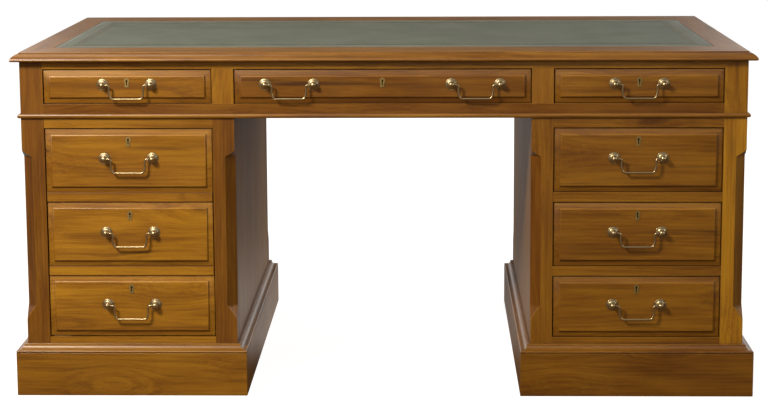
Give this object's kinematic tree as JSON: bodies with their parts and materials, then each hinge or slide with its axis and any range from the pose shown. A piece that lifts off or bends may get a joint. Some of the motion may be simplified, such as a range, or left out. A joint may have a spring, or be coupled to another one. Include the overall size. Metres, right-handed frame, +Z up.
{
  "type": "partners desk",
  "caption": "Two-sided pedestal desk: leathered top, frieze drawers, pedestals with drawers and a sham-drawer cupboard on each side, brass bail handles.",
  "frame": {"origin": "on the floor, under the middle of the desk", "axes": "+Z up, +X to the right of someone facing the front, the shown front towards -Y"},
  "size_m": [1.684, 0.923, 0.79],
  "materials": {
    "walnut_wood": "polished, warm brown with dark streaks",
    "inner_wood": "planed, unpolished",
    "writing_leather": "dark grey-green, tooled near its edge",
    "antique_brass": "aged and polished on its high points"
  },
  "bodies": {
    "desk": {"top_border": "walnut_wood", "top_ground": "inner_wood", "writing_leather": "writing_leather", "frieze_carcase": "walnut_wood", "frieze_bead": "walnut_wood", "right_pedestal": "walnut_wood", "left_pedestal": "walnut_wood", "right_plinth": "walnut_wood", "left_plinth": "walnut_wood", "drawer_runners": "inner_wood", "cupboard_shelves": "inner_wood", "door_pivots": "antique_brass"},
    "front_frieze_left_drawer": {"front_frieze_left_drawer": "walnut_wood", "front_frieze_left_brass": "antique_brass"},
    "front_frieze_left_bail": {"front_frieze_left_bail": "antique_brass"},
    "front_frieze_centre_drawer": {"front_frieze_centre_drawer": "walnut_wood", "front_frieze_centre_brass": "antique_brass"},
    "front_frieze_centre_left_bail": {"front_frieze_centre_left_bail": "antique_brass"},
    "front_frieze_centre_right_bail": {"front_frieze_centre_right_bail": "antique_brass"},
    "front_frieze_right_drawer": {"front_frieze_right_drawer": "walnut_wood", "front_frieze_right_brass": "antique_brass"},
    "front_frieze_right_bail": {"front_frieze_right_bail": "antique_brass"},
    "front_pedestal_top_drawer": {"front_pedestal_top_drawer": "walnut_wood", "front_pedestal_top_brass": "antique_brass"},
    "front_pedestal_top_bail": {"front_pedestal_top_bail": "antique_brass"},
    "front_pedestal_middle_drawer": {"front_pedestal_middle_drawer": "walnut_wood", "front_pedestal_middle_brass": "antique_brass"},
    "front_pedestal_middle_bail": {"front_pedestal_middle_bail": "antique_brass"},
    "front_pedestal_bottom_drawer": {"front_pedestal_bottom_drawer": "walnut_wood", "front_pedestal_bottom_brass": "antique_brass"},
    "front_pedestal_bottom_bail": {"front_pedestal_bottom_bail": "antique_brass"},
    "front_door": {"front_door": "walnut_wood", "front_door_brass": "antique_brass"},
    "front_door_top_bail": {"front_door_top_bail": "antique_brass"},
    "front_door_middle_bail": {"front_door_middle_bail": "antique_brass"},
    "front_door_bottom_bail": {"front_door_bottom_bail": "antique_brass"},
    "back_frieze_left_drawer": {"back_frieze_left_drawer": "walnut_wood", "back_frieze_left_brass": "antique_brass"},
    "back_frieze_left_bail": {"back_frieze_left_bail": "antique_brass"},
    "back_frieze_centre_drawer": {"back_frieze_centre_drawer": "walnut_wood", "back_frieze_centre_brass": "antique_brass"},
    "back_frieze_centre_left_bail": {"back_frieze_centre_left_bail": "antique_brass"},
    "back_frieze_centre_right_bail": {"back_frieze_centre_right_bail": "antique_brass"},
    "back_frieze_right_drawer": {"back_frieze_right_drawer": "walnut_wood", "back_frieze_right_brass": "antique_brass"},
    "back_frieze_right_bail": {"back_frieze_right_bail": "antique_brass"},
    "back_pedestal_top_drawer": {"back_pedestal_top_drawer": "walnut_wood", "back_pedestal_top_brass": "antique_brass"},
    "back_pedestal_top_bail": {"back_pedestal_top_bail": "antique_brass"},
    "back_pedestal_middle_drawer": {"back_pedestal_middle_drawer": "walnut_wood", "back_pedestal_middle_brass": "antique_brass"},
    "back_pedestal_middle_bail": {"back_pedestal_middle_bail": "antique_brass"},
    "back_pedestal_bottom_drawer": {"back_pedestal_bottom_drawer": "walnut_wood", "back_pedestal_bottom_brass": "antique_brass"},
    "back_pedestal_bottom_bail": {"back_pedestal_bottom_bail": "antique_brass"},
    "back_door": {"back_door": "walnut_wood", "back_door_brass": "antique_brass"},
    "back_door_top_bail": {"back_door_top_bail": "antique_brass"},
    "back_door_middle_bail": {"back_door_middle_bail": "antique_brass"},
    "back_door_bottom_bail": {"back_door_bottom_bail": "antique_brass"}
  },
  "joints": [
    {"name": "front_frieze_left_slide", "type": "slide", "parent": "desk", "child": "front_frieze_left_drawer", "axis": [0, -1, 0], "range_m": [0, 0.3]},
    {"name": "front_frieze_left_bail_hinge", "type": "hinge", "parent": "front_frieze_left_drawer", "child": "front_frieze_left_bail", "pos_m": [-0.576, -0.4545, 0.7175], "axis": [-1, 0, 0], "range_deg": [0, 100]},
    {"name": "front_frieze_centre_slide", "type": "slide", "parent": "desk", "child": "front_frieze_centre_drawer", "axis": [0, -1, 0], "range_m": [0, 0.3]},
    {"name": "front_frieze_centre_left_bail_hinge", "type": "hinge", "parent": "front_frieze_centre_drawer", "child": "front_frieze_centre_left_bail", "pos_m": [-0.2095, -0.4545, 0.7175], "axis": [-1, 0, 0], "range_deg": [0, 100]},
    {"name": "front_frieze_centre_right_bail_hinge", "type": "hinge", "parent": "front_frieze_centre_drawer", "child": "front_frieze_centre_right_bail", "pos_m": [0.2095, -0.4545, 0.7175], "axis": [-1, 0, 0], "range_deg": [0, 100]},
    {"name": "front_frieze_right_slide", "type": "slide", "parent": "desk", "child": "front_frieze_right_drawer", "axis": [0, -1, 0], "range_m": [0, 0.3]},
    {"name": "front_frieze_right_bail_hinge", "type": "hinge", "parent": "front_frieze_right_drawer", "child": "front_frieze_right_bail", "pos_m": [0.576, -0.4545, 0.7175], "axis": [-1, 0, 0], "range_deg": [0, 100]},
    {"name": "front_pedestal_top_slide", "type": "slide", "parent": "desk", "child": "front_pedestal_top_drawer", "axis": [0, -1, 0], "range_m": [0, 0.3]},
    {"name": "front_pedestal_top_bail_hinge", "type": "hinge", "parent": "front_pedestal_top_drawer", "child": "front_pedestal_top_bail", "pos_m": [0.576, -0.4545, 0.54891], "axis": [-1, 0, 0], "range_deg": [0, 100]},
    {"name": "front_pedestal_middle_slide", "type": "slide", "parent": "desk", "child": "front_pedestal_middle_drawer", "axis": [0, -1, 0], "range_m": [0, 0.3]},
    {"name": "front_pedestal_middle_bail_hinge", "type": "hinge", "parent": "front_pedestal_middle_drawer", "child": "front_pedestal_middle_bail", "pos_m": [0.576, -0.4545, 0.37829], "axis": [-1, 0, 0], "range_deg": [0, 100]},
    {"name": "front_pedestal_bottom_slide", "type": "slide", "parent": "desk", "child": "front_pedestal_bottom_drawer", "axis": [0, -1, 0], "range_m": [0, 0.3]},
    {"name": "front_pedestal_bottom_bail_hinge", "type": "hinge", "parent": "front_pedestal_bottom_drawer", "child": "front_pedestal_bottom_bail", "pos_m": [0.576, -0.4545, 0.20988], "axis": [-1, 0, 0], "range_deg": [0, 100]},
    {"name": "front_door_hinge", "type": "hinge", "parent": "desk", "child": "front_door", "pos_m": [-0.755, -0.4325, 0.3755], "axis": [0, 0, -1], "range_deg": [0, 90]},
    {"name": "front_door_top_bail_hinge", "type": "hinge", "parent": "front_door", "child": "front_door_top_bail", "pos_m": [-0.576, -0.4545, 0.54891], "axis": [-1, 0, 0], "range_deg": [0, 100]},
    {"name": "front_door_middle_bail_hinge", "type": "hinge", "parent": "front_door", "child": "front_door_middle_bail", "pos_m": [-0.576, -0.4545, 0.37829], "axis": [-1, 0, 0], "range_deg": [0, 100]},
    {"name": "front_door_bottom_bail_hinge", "type": "hinge", "parent": "front_door", "child": "front_door_bottom_bail", "pos_m": [-0.576, -0.4545, 0.20988], "axis": [-1, 0, 0], "range_deg": [0, 100]},
    {"name": "back_frieze_left_slide", "type": "slide", "parent": "desk", "child": "back_frieze_left_drawer", "axis": [0, 1, 0], "range_m": [0, 0.3]},
    {"name": "back_frieze_left_bail_hinge", "type": "hinge", "parent": "back_frieze_left_drawer", "child": "back_frieze_left_bail", "pos_m": [0.576, 0.4545, 0.7175], "axis": [1, 0, 0], "range_deg": [0, 100]},
    {"name": "back_frieze_centre_slide", "type": "slide", "parent": "desk", "child": "back_frieze_centre_drawer", "axis": [0, 1, 0], "range_m": [0, 0.3]},
    {"name": "back_frieze_centre_left_bail_hinge", "type": "hinge", "parent": "back_frieze_centre_drawer", "child": "back_frieze_centre_left_bail", "pos_m": [0.2095, 0.4545, 0.7175], "axis": [1, 0, 0], "range_deg": [0, 100]},
    {"name": "back_frieze_centre_right_bail_hinge", "type": "hinge", "parent": "back_frieze_centre_drawer", "child": "back_frieze_centre_right_bail", "pos_m": [-0.2095, 0.4545, 0.7175], "axis": [1, 0, 0], "range_deg": [0, 100]},
    {"name": "back_frieze_right_slide", "type": "slide", "parent": "desk", "child": "back_frieze_right_drawer", "axis": [0, 1, 0], "range_m": [0, 0.3]},
    {"name": "back_frieze_right_bail_hinge", "type": "hinge", "parent": "back_frieze_right_drawer", "child": "back_frieze_right_bail", "pos_m": [-0.576, 0.4545, 0.7175], "axis": [1, 0, 0], "range_deg": [0, 100]},
    {"name": "back_pedestal_top_slide", "type": "slide", "parent": "desk", "child": "back_pedestal_top_drawer", "axis": [0, 1, 0], "range_m": [0, 0.3]},
    {"name": "back_pedestal_top_bail_hinge", "type": "hinge", "parent": "back_pedestal_top_drawer", "child": "back_pedestal_top_bail", "pos_m": [-0.576, 0.4545, 0.54891], "axis": [1, 0, 0], "range_deg": [0, 100]},
    {"name": "back_pedestal_middle_slide", "type": "slide", "parent": "desk", "child": "back_pedestal_middle_drawer", "axis": [0, 1, 0], "range_m": [0, 0.3]},
    {"name": "back_pedestal_middle_bail_hinge", "type": "hinge", "parent": "back_pedestal_middle_drawer", "child": "back_pedestal_middle_bail", "pos_m": [-0.576, 0.4545, 0.37829], "axis": [1, 0, 0], "range_deg": [0, 100]},
    {"name": "back_pedestal_bottom_slide", "type": "slide", "parent": "desk", "child": "back_pedestal_bottom_drawer", "axis": [0, 1, 0], "range_m": [0, 0.3]},
    {"name": "back_pedestal_bottom_bail_hinge", "type": "hinge", "parent": "back_pedestal_bottom_drawer", "child": "back_pedestal_bottom_bail", "pos_m": [-0.576, 0.4545, 0.20988], "axis": [1, 0, 0], "range_deg": [0, 100]},
    {"name": "back_door_hinge", "type": "hinge", "parent": "desk", "child": "back_door", "pos_m": [0.755, 0.4325, 0.3755], "axis": [0, 0, -1], "range_deg": [0, 90]},
    {"name": "back_door_top_bail_hinge", "type": "hinge", "parent": "back_door", "child": "back_door_top_bail", "pos_m": [0.576, 0.4545, 0.54891], "axis": [1, 0, 0], "range_deg": [0, 100]},
    {"name": "back_door_middle_bail_hinge", "type": "hinge", "parent": "back_door", "child": "back_door_middle_bail", "pos_m": [0.576, 0.4545, 0.37829], "axis": [1, 0, 0], "range_deg": [0, 100]},
    {"name": "back_door_bottom_bail_hinge", "type": "hinge", "parent": "back_door", "child": "back_door_bottom_bail", "pos_m": [0.576, 0.4545, 0.20988], "axis": [1, 0, 0], "range_deg": [0, 100]}
  ]
}
